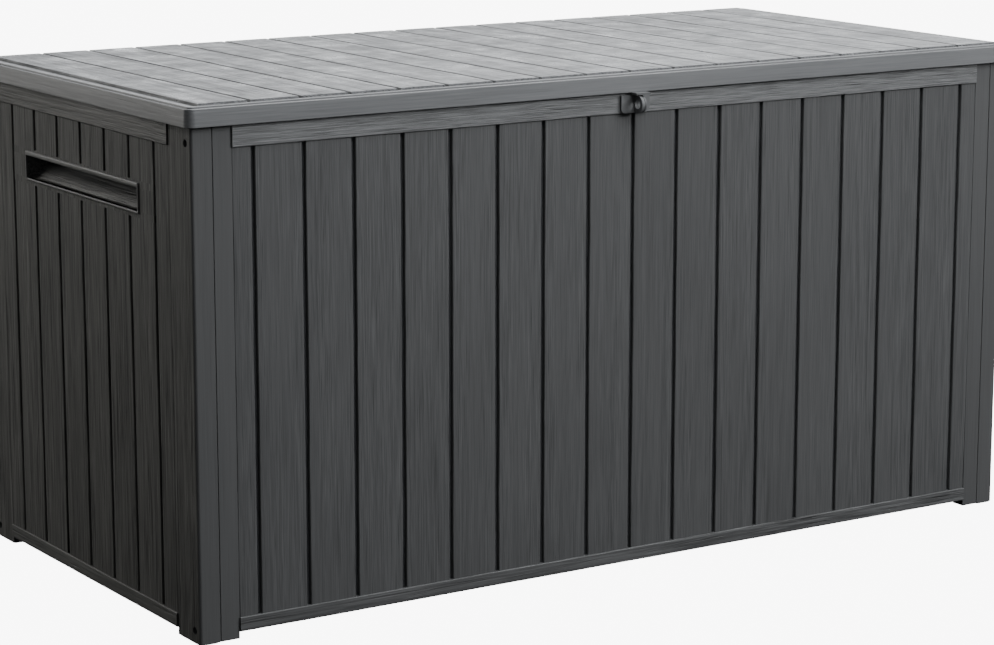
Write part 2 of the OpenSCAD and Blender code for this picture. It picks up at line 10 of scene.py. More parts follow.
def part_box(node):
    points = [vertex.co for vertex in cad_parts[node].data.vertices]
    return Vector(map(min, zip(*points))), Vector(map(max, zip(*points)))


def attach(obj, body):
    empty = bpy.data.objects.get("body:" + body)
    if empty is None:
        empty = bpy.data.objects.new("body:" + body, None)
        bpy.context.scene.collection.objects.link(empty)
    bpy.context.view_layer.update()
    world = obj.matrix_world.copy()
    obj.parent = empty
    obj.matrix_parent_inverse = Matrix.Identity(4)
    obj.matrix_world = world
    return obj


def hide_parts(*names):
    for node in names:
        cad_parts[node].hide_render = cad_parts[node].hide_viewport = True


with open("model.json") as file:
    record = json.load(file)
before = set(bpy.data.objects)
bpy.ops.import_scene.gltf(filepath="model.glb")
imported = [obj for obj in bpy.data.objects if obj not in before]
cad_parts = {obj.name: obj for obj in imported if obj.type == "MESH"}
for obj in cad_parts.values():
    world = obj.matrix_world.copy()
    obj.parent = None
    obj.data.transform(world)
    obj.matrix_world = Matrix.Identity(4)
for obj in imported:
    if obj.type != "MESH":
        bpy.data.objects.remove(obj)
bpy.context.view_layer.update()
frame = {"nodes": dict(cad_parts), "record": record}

MM = 0.001

# Sizes of the moulding, in metres, as the CAD model has them
PLANK_PITCH = 85 * MM
GROOVE_W = 6.5 * MM
GROOVE_H = 6 * MM
FRONT_GROOVES = 17
END_GROOVES = 7
SKIN = 3 * MM
SHEET_T = 2.5 * MM
PANEL_T = 26 * MM
RAIL_PROUD = 2.5 * MM
BOTTOM_RAIL_H = 22.5 * MM
TOP_RAIL_H = 36 * MM
LEG_H = 12.3 * MM
PAD_T = 1.5 * MM
STILE_W = 31.5 * MM
POST_W = 34.5 * MM
POST_D = 72 * MM
POST_R = 5 * MM
FIELD_RISE = 3 * MM
LID_CORNER_R = 14 * MM
LID_T = 3.5 * MM
POCKET_SHELF = 12 * MM
POCKET_DRAFT = 10 * MM
POCKET_WALL = 2.5 * MM
POCKET_SLOPE = 1.1
HANDLE_FRAME = 4 * MM
HANDLE_BROW = 8 * MM
HANDLE_PROUD = 3 * MM
HANDLE_SEAT = 3 * MM
SCREW_SETBACK = 17 * MM
SCREW_HEIGHTS = (20.3 * MM, 755.3 * MM)
ACCESS_R = 6 * MM
ACCESS_DEPTH = 24 * MM
HINGE_PAD_HALF = 54 * MM
HINGE_PAD_Z0 = 690 * MM

# Finish of the moulding
ARRIS = 1.6 * MM
RAIL_ARRIS = 1.5 * MM
RIM_EDGE = 0.6 * MM
CROWN = 0.12 * MM
WOBBLE = 0.5 * MM
RAIL_WOBBLE = 0.2 * MM
RAIL_GAP = 0.3 * MM
ROW = 12 * MM
QUARTER = [math.radians(a) for a in (0, 30, 60, 90)]
SHARP_ANGLE = math.radians(38)
GOLDEN = 0.6180339887

front_lo, front_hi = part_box("front_panel")
left_lo, left_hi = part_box("left_side_panel")
RIM_Z = front_hi.z
PLANK_Z0 = LEG_H + BOTTOM_RAIL_H
PLANK_Z1 = RIM_Z - TOP_RAIL_H
PLANK_BACK = GROOVE_H + 0.5 * MM
HALF_D = -(front_lo.y + RAIL_PROUD)
HALF_W = -(left_lo.x + RAIL_PROUD)
PANEL_W = front_hi.x - front_lo.x
FIELD_W = PANEL_W - 2 * STILE_W
END_SPAN = 2 * HALF_D - 2 * POST_D


# ---------------------------------------------------------------- camera

CAMERA_AT = (-2.7566, -4.2603, 1.3719)
CAMERA_YAW = 32.768
CAMERA_PITCH = 11.448
FOCAL_IN_WIDTHS = 3.0486
SENSOR = 36.0


def make_camera():
    data = bpy.data.cameras.new("camera")
    data.sensor_width = SENSOR
    data.lens = FOCAL_IN_WIDTHS * SENSOR
    data.clip_end = 200
    camera = bpy.data.objects.new("camera", data)
    camera.location = CAMERA_AT
    camera.rotation_euler = (math.radians(90 - CAMERA_PITCH), 0, math.radians(-CAMERA_YAW))
    bpy.context.collection.objects.link(camera)
    bpy.context.scene.camera = camera


make_camera()


# ---------------------------------------------------------------- node trees

class Tree:
    """A node tree with a short way to add and join nodes."""

    def __init__(self, owner):
        owner.use_nodes = True
        self.tree = owner.node_tree
        self.tree.nodes.clear()

    def add(self, kind, settings=None, **inputs):
        """Adds a node; input i2 is its third socket, Base_Color the socket of that name."""
        node = self.tree.nodes.new(kind)
        for key, value in (settings or {}).items():
            setattr(node, key, value)
        for key, value in inputs.items():
            self.put(node, key, value)
        return node

    def put(self, node, key, value):
        numbered = key[0] == "i" and key[1:].isdigit()
        socket = node.inputs[int(key[1:]) if numbered else key.replace("_", " ")]
        if isinstance(value, bpy.types.NodeSocket):
            self.tree.links.new(value, socket)
        else:
            socket.default_value = value

    def math(self, op, a, b=0.0, c=0.0):
        return self.add("ShaderNodeMath", {"operation": op}, i0=a, i1=b, i2=c).outputs[0]

    def vector_math(self, op, a, b):
        return self.add("ShaderNodeVectorMath", {"operation": op}, i0=a, i1=b).outputs[0]

    def scaled(self, vector, amount):
        return self.add("ShaderNodeVectorMath", {"operation": "SCALE"}, i0=vector, Scale=amount).outputs[0]

    def joined(self, x, y, z):
        return self.add("ShaderNodeCombineXYZ", None, X=x, Y=y, Z=z).outputs[0]

    def noise(self, at, scale, detail=2.0, rough=0.5):
        return self.add("ShaderNodeTexNoise", None, Vector=at, Scale=scale, Detail=detail,
                        Roughness=rough).outputs[0]

    def ramp(self, value, low, high, out_low=0.0, out_high=1.0):
        node = self.add("ShaderNodeMapRange", {"interpolation_type": "SMOOTHSTEP"}, Value=value)
        for i, v in enumerate((low, high, out_low, out_high)):
            node.inputs[i + 1].default_value = v
        return node.outputs[0]

    def mix(self, amount, a, b):
        return self.add("ShaderNodeMix", {"data_type": "RGBA"}, i0=amount, i6=a, i7=b).outputs[2]

    def seen_or_lit(self, shown, lit, output):
        """Shows one shader to the camera and lights the scene with another."""
        seen = self.add("ShaderNodeLightPath").outputs["Is Camera Ray"]
        both = self.add("ShaderNodeMixShader", None, i0=seen, i1=lit.outputs[0], i2=shown.outputs[0])
        self.add(output, None, Surface=both.outputs[0])


# ---------------------------------------------------------------- studio

WORLD_LEVEL = 0.22
WORLD_GLOW = 1.95
BACKDROP_LEVEL = 8.6
FLOOR_HALF = 40
FLOOR_BOUNCE = 0.03
WHITE = (1, 1, 1, 1)
COOL = (0.97, 0.985, 1.0)
WARM = (1.0, 0.985, 0.94)

# Where each light stands, where it aims, its size, watts and tint
LIGHTS = {
    "overhead": ((0.3, -0.5, 3.4), (0.1, 0.0, 0.6), (2.8, 2.0), 115, COOL),
    "key_right": ((8.4, -8.2, 4.6), (0.0, -0.3, 0.6), (3.0, 3.0), 1000, COOL),
    "front_top": ((0.7, -2.0, 2.5), (0.1, -0.3, 0.5), (2.6, 0.5), 52, COOL),
    "rear_left": ((-2.6, 2.2, 2.9), (-0.8, 0.0, 0.8), (1.2, 1.2), 58, WARM),
    "low_left_strip": ((-5.0, 6.5, 1.1), (-0.8, 0.0, 0.7), (5.0, 1.6), 85, WARM),
    "rear_right": ((2.4, 2.4, 4.2), (0.2, 0.0, 0.4), (1.6, 1.6), 130, COOL),
}


def area_light(name, at, aim, size, power, colour):
    data = bpy.data.lights.new(name, "AREA")
    data.shape = "RECTANGLE"
    data.size, data.size_y = size
    data.energy = power
    data.color = colour
    light = bpy.data.objects.new(name, data)
    light.location = at
    light.rotation_euler = (Vector(aim) - Vector(at)).to_track_quat("-Z", "Y").to_euler()
    light.visible_camera = False
    bpy.context.collection.objects.link(light)


def make_world():
    """A dim sky, bright low down behind the right of the box, that looks white to the camera."""
    world = bpy.data.worlds.new("studio")
    bpy.context.scene.world = world
    t = Tree(world)
    direction = t.add("ShaderNodeTexCoord").outputs["Generated"]
    x, y, z = t.add("ShaderNodeSeparateXYZ", None, Vector=direction).outputs
    behind = t.ramp(y, -0.2, 0.9)
    low = t.ramp(z, 0.75, 0.1)
    right = t.ramp(x, -0.75, 0.6)
    glow = t.math("MULTIPLY", t.math("MULTIPLY", behind, low), right)
    level = t.math("MULTIPLY_ADD", glow, WORLD_GLOW, WORLD_LEVEL)
    lit = t.add("ShaderNodeBackground", None, Color=(0.96, 0.98, 1.0, 1), Strength=level)
    shown = t.add("ShaderNodeBackground", None, Color=WHITE, Strength=BACKDROP_LEVEL)
    t.seen_or_lit(shown, lit, "ShaderNodeOutputWorld")


def make_floor():
    shape = bmesh.new()
    bmesh.ops.create_grid(shape, x_segments=1, y_segments=1, size=FLOOR_HALF)
    mesh = bpy.data.meshes.new("floor")
    shape.to_mesh(mesh)
    shape.free()
    floor = bpy.data.objects.new("floor", mesh)
    bpy.context.collection.objects.link(floor)
    material = bpy.data.materials.new("pale_floor")
    t = Tree(material)
    shown = t.add("ShaderNodeEmission", None, Color=WHITE, Strength=BACKDROP_LEVEL)
    lit = t.add("ShaderNodeBsdfDiffuse", None, Color=(FLOOR_BOUNCE, FLOOR_BOUNCE, FLOOR_BOUNCE, 1))
    t.seen_or_lit(shown, lit, "ShaderNodeOutputMaterial")
    mesh.materials.append(material)


make_world()
make_floor()
for light_name, light_facts in LIGHTS.items():
    area_light(light_name, *light_facts)


# ---------------------------------------------------------------- materials

# How much shorter the noise looks along the grain, and how far the grain drifts sideways
STRETCH = 0.022
DRIFT = 0.007
SQUEEZE = {"x": (STRETCH, 1, 1), "y": (1, STRETCH, 1), "z": (1, 1, STRETCH)}


def grain_place(t, along):
    """Object coordinates, shifted per plank, then squeezed along the grain and bent a little."""
    plank = t.add("ShaderNodeAttribute", {"attribute_name": "plank"}).outputs["Fac"]
    at = t.add("ShaderNodeTexCoord").outputs["Object"]
    at = t.vector_math("ADD", at, t.joined(*[t.math("MULTIPLY", plank, k) for k in (3.7, 5.3, 7.9)]))
    stretched = t.vector_math("MULTIPLY", at, SQUEEZE[along])
    drift = t.math("MULTIPLY", t.noise(stretched, 24.0, 1.0), DRIFT)
    return at, stretched, t.vector_math("ADD", stretched, t.joined(drift, drift, drift))


def resin(name, colour, along, contrast=0.3, depth=0.8, roughness=0.5, shine=0.5, lines_at=290.0,
          even=0.6, mottle=0.0):
    """Moulded resin with a fine embossed wood grain along one axis; each plank has its own stretch of it."""
    material = bpy.data.materials.new(name)
    t = Tree(material)
    at, stretched, bent = grain_place(t, along)
    broad = t.noise(bent, 70.0)
    lines = t.noise(bent, lines_at, 3.0, 0.75)
    dashes = t.ramp(t.noise(bent, lines_at * 1.3, 1.0), 0.58, 0.70)
    lights = t.ramp(t.noise(bent, lines_at * 1.1, 1.0), 0.42, 0.30)
    cloud = t.noise(at, 2.3)
    patch = t.ramp(t.noise(stretched, 30.0, 1.0), 0.34, 0.60, even, 1.0)

    height = t.math("MULTIPLY_ADD", broad, 0.25, lines)
    height = t.math("MULTIPLY", t.math("MULTIPLY_ADD", dashes, -0.3, height), patch)
    fine = t.math("SUBTRACT", t.ramp(lines, 0.34, 0.66), 0.5)
    marks = t.math("MULTIPLY_ADD", t.math("SUBTRACT", lights, dashes), 0.5, fine)
    clouds = t.math("MULTIPLY", t.math("SUBTRACT", cloud, 0.5), 1 - even)
    level = t.math("MULTIPLY_ADD", t.math("MULTIPLY_ADD", marks, patch, clouds), contrast, 1.0)
    rough = t.ramp(t.math("MULTIPLY_ADD", cloud, 0.5, broad), 0.4, 1.1, roughness - 0.08, roughness + 0.10)
    uneven = t.math("SUBTRACT", t.noise(at, 16.0, 4.0, 0.65), 0.5)
    rough = t.math("MULTIPLY_ADD", uneven, mottle, rough)

    bump = t.add("ShaderNodeBump", None, Strength=1.0, Distance=depth * MM, Height=height).outputs[0]
    shader = t.add("ShaderNodeBsdfPrincipled", None, Base_Color=t.scaled(colour, level), Roughness=rough,
                   Normal=bump, Specular_IOR_Level=shine)
    t.add("ShaderNodeOutputMaterial", None, Surface=shader.outputs[0])
    return material


def plain(name, colour, roughness=0.5, metallic=0.0, texture=220.0, depth=0.12, spread=0.10, coat=0.0):
    """A fine-textured plastic, rubber, paint or metal, a little paler where its edges wear."""
    material = bpy.data.materials.new(name)
    t = Tree(material)
    at = t.add("ShaderNodeTexCoord").outputs["Object"]
    fine = t.noise(at, texture, 3.0, 0.6)
    cloud = t.noise(at, 9.0, 3.0)
    worn = t.ramp(t.add("ShaderNodeNewGeometry").outputs["Pointiness"], 0.50, 0.62, 0.0, 0.35)
    dark, light, edge = (tuple(min(1.0, c * k + lift) for c in colour) + (1,)
                         for k, lift in ((1 - spread, 0), (1 + spread, 0), (1.6, 0.01)))
    base = t.mix(worn, t.mix(cloud, dark, light), edge)
    rough = t.ramp(t.math("ADD", fine, cloud), 0.5, 1.5, roughness - 0.08, roughness + 0.08)
    bump = t.add("ShaderNodeBump", None, Strength=0.5, Distance=depth * MM, Height=fine).outputs[0]
    shader = t.add("ShaderNodeBsdfPrincipled", None, Base_Color=base, Roughness=rough, Normal=bump,
                   Metallic=metallic, Coat_Weight=coat)
    t.add("ShaderNodeOutputMaterial", None, Surface=shader.outputs[0])
    return material


WALL = (0.0635, 0.0645, 0.0655)
END = (0.058, 0.0575, 0.0545)
# Partly painted light: the front top rail's colour is lighter than the wall's, and the lift stands in for
# light from above caught by its horizontal grain
RAIL_TONE_AND_PAINTED_LIGHT = (0.110, 0.112, 0.114)
# Partly painted light: the lid's colour is lighter than the wall resin's, and the lift paints in the
# brighter sheen of its skirt and top
LID_TONE_AND_PAINTED_SHEEN = (0.115, 0.118, 0.122)
LIP = (0.072, 0.072, 0.070)
POCKET = (0.042, 0.042, 0.040)

front_grain = resin("resin_grain_up", WALL, "z", 0.38, 0.5, 0.55, 0.3, 360.0, 0.5)
end_grain = resin("resin_grain_up_ends", END, "z", 1.15, 1.3, 0.55, 0.3, 280.0)
front_rail = resin("resin_rail_front", RAIL_TONE_AND_PAINTED_LIGHT, "x", 1.0, 1.1, 0.5, 0.4, 520.0, 0.7)
end_rail = resin("resin_rail_side", END, "y", 1.1, 1.2, 0.5, 0.4)
front_foot_rail = resin("resin_foot_rail_front", WALL, "x", 0.9, 0.9, 0.5, 0.4)
end_foot_rail = resin("resin_foot_rail_side", END, "y", 0.8, 0.8, 0.5, 0.4)
smooth_resin = resin("resin_smooth", WALL, "z", 0.10, 0.15, 0.52, 0.35)
handle_lip = resin("handle_lip", LIP, "y", 0.2, 0.2, 0.42)
pocket_grain = resin("pocket_grain", POCKET, "y", 1.6, 1.4, 0.5, 0.4)
lid_grain = resin("lid_grain", LID_TONE_AND_PAINTED_SHEEN, "y", 0.75, 1.6, 0.45, 0.5, 220.0, 0.7, 1.3)
lid_front_edge = resin("lid_edge_front", LID_TONE_AND_PAINTED_SHEEN, "x", 0.28, 0.15, 0.42)
lid_end_edge = resin("lid_edge_side", LID_TONE_AND_PAINTED_SHEEN, "y", 0.28, 0.15, 0.36)
inner = plain("resin_inside", (0.045, 0.047, 0.050), 0.55, texture=420.0)
latch_resin = plain("latch_resin", (0.075, 0.077, 0.079), 0.62)
fitting = plain("fitting_plastic", (0.016, 0.016, 0.017), 0.45)
rubber = plain("rubber", (0.013, 0.013, 0.013), 0.72, depth=0.2)
powder = plain("black_powder_coat", (0.016, 0.016, 0.017), 0.48, texture=900.0, depth=0.05)
hasp_coat = plain("hasp_coat", (0.060, 0.062, 0.064), 0.70, texture=900.0, depth=0.05)
strut_paint = plain("strut_paint", (0.010, 0.010, 0.011), 0.25, texture=900.0, depth=0.02, coat=0.4)
zinc = plain("zinc_plate", (0.56, 0.56, 0.55), 0.32, 1.0, spread=0.14)
galvanised = plain("galvanised_steel", (0.48, 0.49, 0.50), 0.42, 1.0, texture=90.0, spread=0.18)
chrome = plain("hard_chrome", (0.66, 0.67, 0.68), 0.10, 1.0, texture=700.0, depth=0.004, spread=0.04)


# ---------------------------------------------------------------- mesh tools

class Moulding:
    """Collects closed shells in one mesh, each with its own place along the grain."""

    def __init__(self, place=Matrix.Identity(4)):
        self.shape = bmesh.new()
        self.tag = self.shape.faces.layers.float.new("plank")
        self.place = place
        self.count = 0

    def take(self, made, material):
        """Marks new faces with their material and their shell's own shift of the grain."""
        self.count += 1
        tag = 0.05 + 0.9 * ((self.count * GOLDEN) % 1.0)
        for face in made:
            face[self.tag] = tag
            face.material_index = material
            face.smooth = True
        return made

    def loops(self, rings, material=0):
        """Joins rings of points with quads, and caps the first and the last ring."""
        rows = [[self.shape.verts.new(self.place @ Vector(p)) for p in ring] for ring in rings]
        made = [self.shape.faces.new(rows[0][::-1]), self.shape.faces.new(rows[-1])]
        for a, b in zip(rows, rows[1:]):
            for i in range(len(a)):
                j = (i + 1) % len(a)
                made.append(self.shape.faces.new((a[i], a[j], b[j], b[i])))
        return self.take(made, material)

    def board(self, lo, hi, edge, segments=2, material=0):
        """A box between two corners with rounded edges."""
        piece = bmesh.new()
        bmesh.ops.create_cube(piece, size=1.0)
        size = Vector(hi) - Vector(lo)
        bmesh.ops.scale(piece, vec=size, verts=piece.verts)
        bmesh.ops.translate(piece, vec=(Vector(hi) + Vector(lo)) / 2, verts=piece.verts)
        if edge > 0:
            bmesh.ops.bevel(piece, geom=piece.edges[:], offset=min(edge, min(size) * 0.45),
                            segments=segments, profile=0.5, affect="EDGES")
        self.absorb(piece, material)

    def absorb(self, piece, material=0):
        copies = {v: self.shape.verts.new(self.place @ v.co) for v in piece.verts}
        made = [self.shape.faces.new([copies[v] for v in f.verts]) for f in piece.faces]
        piece.free()
        return self.take(made, material)

    def plank(self, u, v, face, back, point, material=0, wobble=WOBBLE, arris=ARRIS):
        """A board with eased, slightly wandering edges; point(u, v, depth) places it."""
        seed = self.count * 11.3
        rows = max(3, round((v[1] - v[0]) / ROW))
        inward = 1 if back > face else -1
        rings = []
        for k in range(rows + 1):
            at = v[0] + (v[1] - v[0]) * k / rows
            left = u[0] + wobble * wander(at, seed)
            right = u[1] + wobble * wander(at, seed + 50)
            ring = [(left, back)] + eased(left, 1, face, inward, arris)
            for s in (0.25, 0.5, 0.75):
                crown = (1 - (2 * s - 1) ** 2) * CROWN
                ring.append((left + (right - left) * s, face - inward * crown))
            ring += eased(right, -1, face, inward, arris)[::-1]
            ring.append((right, back))
            rings.append([point(across, at, depth) for across, depth in ring])
        self.loops(rings, material)

    def finish(self, name, materials, body, slot):
        bmesh.ops.recalc_face_normals(self.shape, faces=self.shape.faces[:])
        mesh = bpy.data.meshes.new(name)
        self.shape.to_mesh(mesh)
        self.shape.free()
        mesh.set_sharp_from_angle(angle=SHARP_ANGLE)
        for material in materials:
            mesh.materials.append(material)
        piece = bpy.data.objects.new(name, mesh)
        bpy.context.collection.objects.link(piece)
        piece.modifiers.new("even_shading", "WEIGHTED_NORMAL").keep_sharp = True
        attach(piece, body)
        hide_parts(name)


def eased(edge, side, face, inward, radius):
    """A quarter round from the edge of a board up to its face."""
    return [(edge + side * radius * (1 - math.cos(a)), face + inward * radius * (1 - math.sin(a)))
            for a in QUARTER]


def wander(v, seed):
    """A slow and a quick wave along a board's edge, between about -1 and 1."""
    slow = noise.noise(Vector((v * 9.0, seed, 0.3)))
    quick = noise.noise(Vector((v * 33.0, seed, 7.1)))
    return 1.3 * slow + 0.6 * quick


def centred(count, pitch):
    return [(i - (count - 1) / 2) * pitch for i in range(count)]


def between(edges, gap):
    """The spans between neighbouring edges, with a gap's half width off each inner end."""
    last = len(edges) - 2
    return [(a + (gap if i > 0 else 0), b - (gap if i < last else 0))
            for i, (a, b) in enumerate(zip(edges, edges[1:]))]


def mirrored(side, a, b):
    return tuple(sorted((side * a, side * b)))


def upright(u, v, depth):
    return (u, depth, v)


def lengthwise(u, v, depth):
    return (v, depth, u)


def flat(u, v, depth):
    return (u, v, depth)


# ---------------------------------------------------------------- walls

# Material slots of a wall, and how far its planks run in under the rails
GRAIN, TOP_RAIL, BACKING, SMOOTH, FOOT_RAIL = range(5)
PLANK_TUCK = 3 * MM
PAD_SINK = 0.02 * MM


def wall(part, width, field, grooves, slot=None):
    """One grooved wall: planks, rails, backing and ribs. Local x runs along it, y into it, z up."""
    xs = centred(grooves, PLANK_PITCH)
    foot, head = PLANK_Z0 - PLANK_TUCK, PLANK_Z1 + PLANK_TUCK
    for u in between([-field / 2] + xs + [field / 2], GROOVE_W / 2):
        stretches = [(foot, head)]
        if slot and abs(sum(u) / 2) < slot["reach"]:
            stretches = [(foot, slot["z0"]), (slot["z1"], head)]
        for v in stretches:
            part.plank(u, v, 0.0, PLANK_BACK, upright)
    if slot:
        slot_surround(part, slot)
    backing(part, width, slot)
    ribs(part, xs, slot)
    rims(part, width)
    run = (RAIL_GAP - field / 2, field / 2 - RAIL_GAP)
    for z, finish in (((LEG_H, PLANK_Z0), FOOT_RAIL), ((PLANK_Z1, RIM_Z), TOP_RAIL)):
        part.plank(z, run, -RAIL_PROUD, PLANK_BACK, lengthwise, finish, RAIL_WOBBLE, RAIL_ARRIS)


def slot_surround(part, slot):
    """The flat pad round the handle slot, where the grooves stop."""
    reach = slot["reach"] - GROOVE_W / 2
    pads = [((-reach, reach), (slot["z0"], slot["open0"])),
            ((-reach, reach), (slot["open1"], slot["z1"]))]
    for s in (-1, 1):
        pads.append((mirrored(s, slot["half"], reach), (slot["open0"], slot["open1"])))
    for u, v in pads:
        part.plank(u, v, PAD_SINK, PLANK_BACK, upright, GRAIN, wobble=0.0, arris=0.3 * MM)


def backing(part, width, slot):
    """The sheet behind the grooves, open where the handle pocket comes through."""
    half = width / 2
    pieces = [(-half, LEG_H, half, RIM_Z)]
    if slot:
        open_half = slot["half"] + SKIN
        z0, z1 = slot["open0"] - SKIN, slot["open1"] + SKIN
        pieces = [(-half, LEG_H, half, z0), (-half, z1, half, RIM_Z),
                  (-half, z0, -open_half, z1), (open_half, z0, half, z1)]
    for x0, z0, x1, z1 in pieces:
        part.board((x0, GROOVE_H, z0), (x1, GROOVE_H + SHEET_T, z1), 0, material=BACKING)


def ribs(part, xs, slot):
    for x in xs:
        spans = [(LEG_H, RIM_Z)]
        if slot and abs(x) < slot["half"]:
            spans = [(LEG_H, slot["open0"] - SKIN), (slot["open1"] + SKIN, RIM_Z)]
        for z0, z1 in spans:
            part.board((x - MM, GROOVE_H + 2 * MM, z0), (x + MM, PANEL_T, z1), 0.4 * MM, 1, BACKING)


def rims(part, width):
    """The flanges that turn inward round the wall."""
    half = width / 2
    for z in (LEG_H, RIM_Z - SKIN):
        part.board((-half, GROOVE_H, z), (half, PANEL_T, z + SKIN), RIM_EDGE, 1, BACKING)
    for s in (-1, 1):
        x0, x1 = mirrored(s, half - SKIN, half)
        part.board((x0, GROOVE_H, LEG_H), (x1, PANEL_T, RIM_Z), RIM_EDGE, 1, BACKING)


def stiles(part):
    """The smooth strips beside the posts, with a tongue into the joint, which run down as legs."""
    half = PANEL_W / 2
    for s in (-1, 1):
        x0, x1 = mirrored(s, half, half - STILE_W)
        part.board((x0, 0, PAD_T), (x1, PLANK_BACK, RIM_Z), 0.7 * MM, 3, SMOOTH)
        part.board((x0, MM, PAD_T), (x1, PANEL_T, LEG_H + 0.5 * MM), MM, 2, SMOOTH)
        t0, t1 = mirrored(s, half - MM, half + 0.9 * MM)
        part.board((t0, 1.2 * MM, PAD_T), (t1, GROOVE_H, RIM_Z - MM), 0.2 * MM, 1, SMOOTH)


def long_wall(name, turn, hinge_pads=()):
    part = Moulding(Matrix.Rotation(turn, 4, "Z") @ Matrix.Translation((0, -HALF_D, 0)))
    wall(part, PANEL_W, FIELD_W, FRONT_GROOVES)
    stiles(part)
    for x in hinge_pads:
        part.board((x - HINGE_PAD_HALF, -RAIL_PROUD, HINGE_PAD_Z0),
                   (x + HINGE_PAD_HALF, GROOVE_H, RIM_Z - MM), 1.2 * MM, 3, SMOOTH)
    finishes = [front_grain, front_rail, inner, smooth_resin, front_foot_rail]
    part.finish(name, finishes, "box", "wall_resin")


def post_outline(sx, sy):
    """The post's section: a round outer corner and three sharp ones."""
    corners = [(HALF_W, HALF_D - POST_D, 1, -1), (HALF_W, HALF_D, 1, 1),
               (HALF_W - POST_W, HALF_D, -1, 1), (HALF_W - POST_W, HALF_D - POST_D, -1, -1)]
    ring = []
    for x, y, dx, dy in corners:
        outer = dx > 0 and dy > 0
        r, steps = (POST_R, 8) if outer else (0.8 * MM, 3)
        start = math.atan2(dy, dx) - math.pi / 4
        for k in range(steps + 1):
            a = start + math.pi / 2 * k / steps
            ring.append((sx * (x - dx * r + r * math.cos(a)), sy * (y - dy * r + r * math.sin(a))))
    return ring


def post(part, sx, sy):
    """A corner post with access holes for the screws in its outer side."""
    solid = bmesh.new()
    low, high = ([solid.verts.new((x, y, z)) for x, y in post_outline(sx, sy)] for z in (PAD_T, RIM_Z))
    for i in range(len(low)):
        j = (i + 1) % len(low)
        solid.faces.new((low[i], low[j], high[j], high[i]))
    solid.faces.new(low[::-1])
    solid.faces.new(high)
    bmesh.ops.recalc_face_normals(solid, faces=solid.faces[:])
    holes = [(sx * HALF_W, sy * (HALF_D - SCREW_SETBACK), z) for z in SCREW_HEIGHTS]
    for face in part.absorb(drill(solid, holes, ACCESS_R, ACCESS_DEPTH)):
        face.normal_update()
        face.material_index = GRAIN if abs(face.normal.x) > 0.9 else SMOOTH


def drill(solid, holes, radius, depth):
    """Cuts blind holes along X into a bmesh with a boolean, and gives back the result."""
    host = bpy.data.objects.new("drill_host", bpy.data.meshes.new("drill_host"))
    solid.to_mesh(host.data)
    solid.free()
    tool = bmesh.new()
    for x, y, z in holes:
        middle = x - math.copysign(depth / 2 - MM, x)
        place = Matrix.Translation((middle, y, z)) @ Matrix.Rotation(math.pi / 2, 4, "Y")
        bmesh.ops.create_cone(tool, cap_ends=True, segments=32, radius1=radius, radius2=radius,
                              depth=depth + 2 * MM, matrix=place)
    cutter = bpy.data.objects.new("drill_tool", bpy.data.meshes.new("drill_tool"))
    tool.to_mesh(cutter.data)
    tool.free()
    for item in (host, cutter):
        bpy.context.collection.objects.link(item)
    cut = host.modifiers.new("cut", "BOOLEAN")
    cut.operation, cut.solver, cut.object = "DIFFERENCE", "EXACT", cutter
    bpy.context.view_layer.update()
    result = bmesh.new()
    result.from_mesh(host.evaluated_get(bpy.context.evaluated_depsgraph_get()).to_mesh())
    for item in (host, cutter):
        bpy.data.objects.remove(item)
    return result


def facing(side):
    """Turns a wall drawn facing -y to the left (-1) or right (1) end of the box."""
    return Matrix.Rotation(side * math.pi / 2, 4, "Z") @ Matrix.Translation((0, -HALF_W, 0))


def handle_slot(handle_node):
    """The opening of a handle and the flat pad round it."""
    lo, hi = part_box(handle_node)
    return {"half": (hi.y - lo.y) / 2 - HANDLE_FRAME, "open0": lo.z + HANDLE_FRAME,
            "open1": hi.z - HANDLE_BROW, "z0": lo.z - 6 * MM, "z1": hi.z + 3 * MM,
            "reach": 3 * PLANK_PITCH}


def end_wall(name, side):
    part = Moulding(facing(side))
    wall(part, END_SPAN, END_SPAN, END_GROOVES, handle_slot("left_handle_cup"))
    part.place = Matrix.Identity(4)
    for sy in (-1, 1):
        post(part, side, sy)
    part.finish(name, [end_grain, end_rail, inner, smooth_resin, end_foot_rail], "box", "wall_resin")


# ---------------------------------------------------------------- lid

LID_MIDDLE = 60 * MM
CREST_R = 1.5 * MM
STEP_DROP = 2.4 * MM
BORDER_IN = 6.4 * MM
BORDER_OUT = 16.5 * MM
FIELD_DROP = 1.6 * MM
FIELD_FRONT = 18.5 * MM
FIELD_BACK = 20 * MM
FIELD_SIDE = 27 * MM
LID_GAP = GROOVE_W / 2 - 0.5 * MM


def lid_profile(h):
    """Inset and height of the lid's section, from the underside round the lip and crest to the field."""
    under = h - LID_T
    crest = h - STEP_DROP
    profile = [(LID_MIDDLE, under), (LID_T + 2 * MM, under), (LID_T, under - 2 * MM),
               (LID_T - 0.2 * MM, 0.8 * MM), (LID_T - 0.8 * MM, 0.0),
               (0.8 * MM, 0.0), (0.2 * MM, 0.3 * MM), (0.0, 0.9 * MM)]
    for a in QUARTER:
        profile.append((0.8 * MM + CREST_R * (1 - math.cos(a)), crest - CREST_R * (1 - math.sin(a))))
    profile += [(3.6 * MM, crest), (3.9 * MM, crest - 2 * MM), (BORDER_IN - 0.3 * MM, crest - 2 * MM),
                (BORDER_IN, h - 0.6 * MM), (BORDER_IN + 0.6 * MM, h), (BORDER_OUT - 0.9 * MM, h),
                (BORDER_OUT - 0.3 * MM, h - 0.4 * MM), (BORDER_OUT, h - FIELD_DROP),
                (LID_MIDDLE, h - FIELD_DROP)]
    return profile


